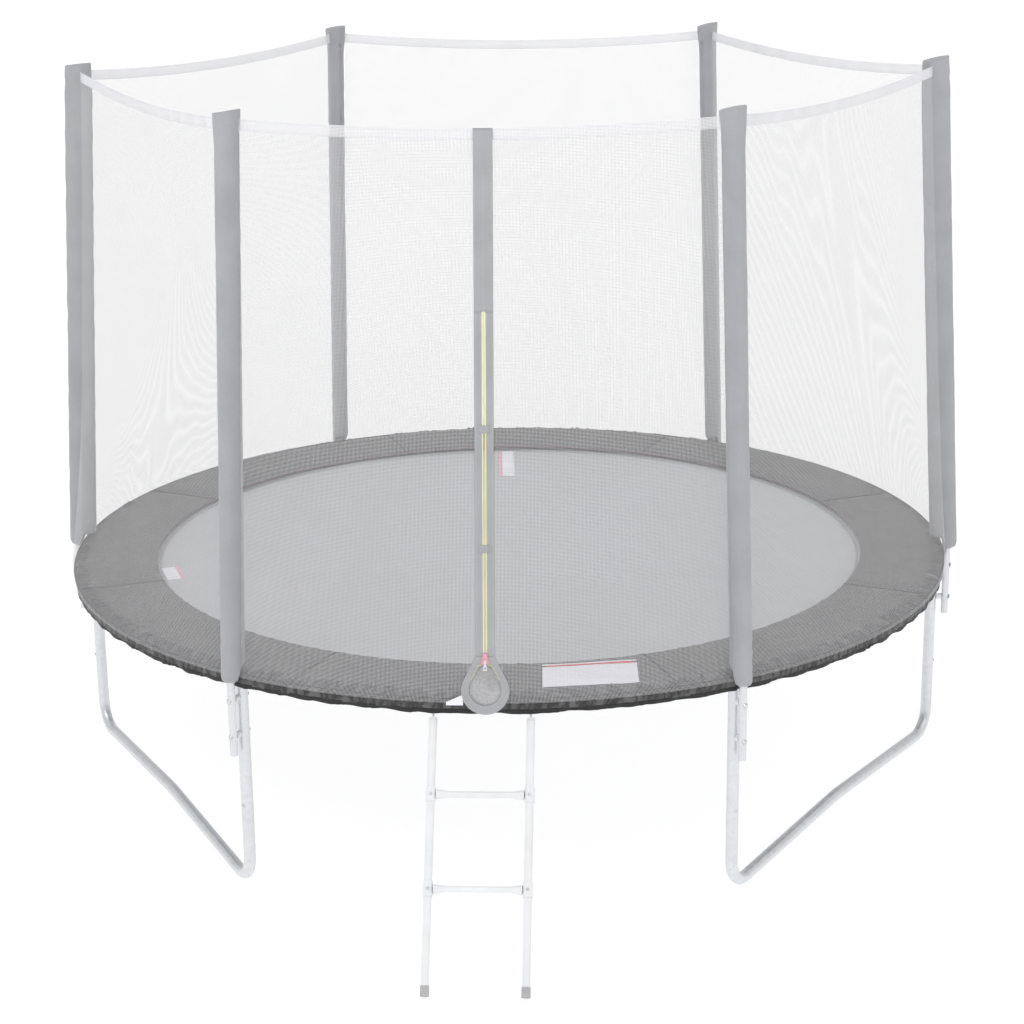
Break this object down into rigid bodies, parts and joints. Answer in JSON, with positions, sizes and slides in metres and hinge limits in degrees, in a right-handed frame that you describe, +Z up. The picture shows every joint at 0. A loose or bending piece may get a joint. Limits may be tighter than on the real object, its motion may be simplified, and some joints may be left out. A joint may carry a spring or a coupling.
{
  "type": "backyard trampoline",
  "caption": "Round backyard trampoline with an outside safety net on padded poles, a sprung mat, a rim pad, W-shaped legs, a zipped doorway and a hook-on ladder.",
  "frame": {"origin": "centre of the mat's top face", "axes": "+Z up, the doorway and the ladder towards -Y, +X to the right of someone facing the doorway from outside"},
  "size_m": [3.1772, 3.5502, 2.4262],
  "materials": {
    "galvanised_tube": "hot-dip galvanised, satin",
    "white_plastic": "moulded",
    "zinc_hardware": "zinc plated",
    "spring_steel": "zinc plated wire",
    "foam": "closed-cell foam",
    "grey_fabric": "woven, matt",
    "pad_fabric": "coated woven cover",
    "net_fabric": "knitted mesh",
    "mat_fabric": "woven polypropylene",
    "mat_webbing": "double webbing border",
    "zip_yellow": "moulded coil",
    "zip_pink": "painted slider",
    "zip_pull_grey": "moulded",
    "ladder_white": "powder coat",
    "foot_cap": "ribbed"
  },
  "bodies": {
    "frame": {"frame_rail_1": "galvanised_tube", "frame_rail_2": "galvanised_tube", "frame_rail_3": "galvanised_tube", "frame_rail_4": "galvanised_tube", "frame_rail_5": "galvanised_tube", "frame_rail_6": "galvanised_tube", "leg_post_1": "galvanised_tube", "leg_post_2": "galvanised_tube", "leg_post_3": "galvanised_tube", "leg_post_4": "galvanised_tube", "leg_post_5": "galvanised_tube", "leg_post_6": "galvanised_tube", "leg_base_1": "galvanised_tube", "leg_base_2": "galvanised_tube", "leg_base_3": "galvanised_tube", "pole_lower_1": "galvanised_tube", "pole_lower_2": "galvanised_tube", "pole_lower_3": "galvanised_tube", "pole_lower_4": "galvanised_tube", "pole_lower_5": "galvanised_tube", "pole_lower_6": "galvanised_tube", "pole_uppers": "galvanised_tube", "pole_caps": "white_plastic", "pole_foams": "foam", "pole_sleeves": "grey_fabric", "pole_spacers": "white_plastic", "pole_bolts": "zinc_hardware", "pole_nuts": "zinc_hardware", "frame_screws": "zinc_hardware", "springs": "spring_steel", "pad_foam": "foam", "pad_cover": "pad_fabric", "pad_skirt": "pad_fabric", "pad_straps": "pad_fabric", "net_panel_1": "net_fabric", "net_panel_2": "net_fabric", "net_panel_3": "net_fabric", "net_panel_4": "net_fabric", "net_panel_5": "net_fabric", "net_front_left": "net_fabric", "net_front_right": "net_fabric", "net_hem": "net_fabric", "zip_webbing": "grey_fabric", "entry_loop": "grey_fabric", "zip_teeth": "zip_yellow", "zip_tabs": "grey_fabric"},
    "mat": {"mat": "mat_fabric", "mat_border": "mat_webbing", "v_rings": "spring_steel"},
    "ladder": {"ladder_rail_left": "ladder_white", "ladder_rail_right": "ladder_white", "ladder_rung_upper": "ladder_white", "ladder_rung_lower": "ladder_white", "ladder_tees": "white_plastic", "ladder_screws": "zinc_hardware", "ladder_hooks": "zinc_hardware", "ladder_caps": "foot_cap"},
    "zip_slider": {"zip_slider": "zip_pink"},
    "zip_pull": {"zip_pull": "zip_pull_grey"}
  },
  "joints": [
    {"name": "mat_bounce", "type": "slide", "parent": "frame", "child": "mat", "axis": [0, 0, 1], "range_m": [-0.4, 0], "stiffness_N_per_m": 6000, "springref_m": 0.05, "deforming": ["springs"]},
    {"name": "ladder_swing", "type": "hinge", "parent": "frame", "child": "ladder", "pos_m": [0, -1.499, -0.017], "axis": [-1, 0, 0], "range_deg": [0, 20]},
    {"name": "zip_slide", "type": "slide", "parent": "frame", "child": "zip_slider", "axis": [0, 0.1725, 0.985], "range_m": [0, 0.995]},
    {"name": "zip_pull_swing", "type": "hinge", "parent": "zip_slider", "child": "zip_pull", "pos_m": [0.012, -1.52927, 0.13802], "axis": [-1, 0, 0], "range_deg": [0, 150]}
  ]
}
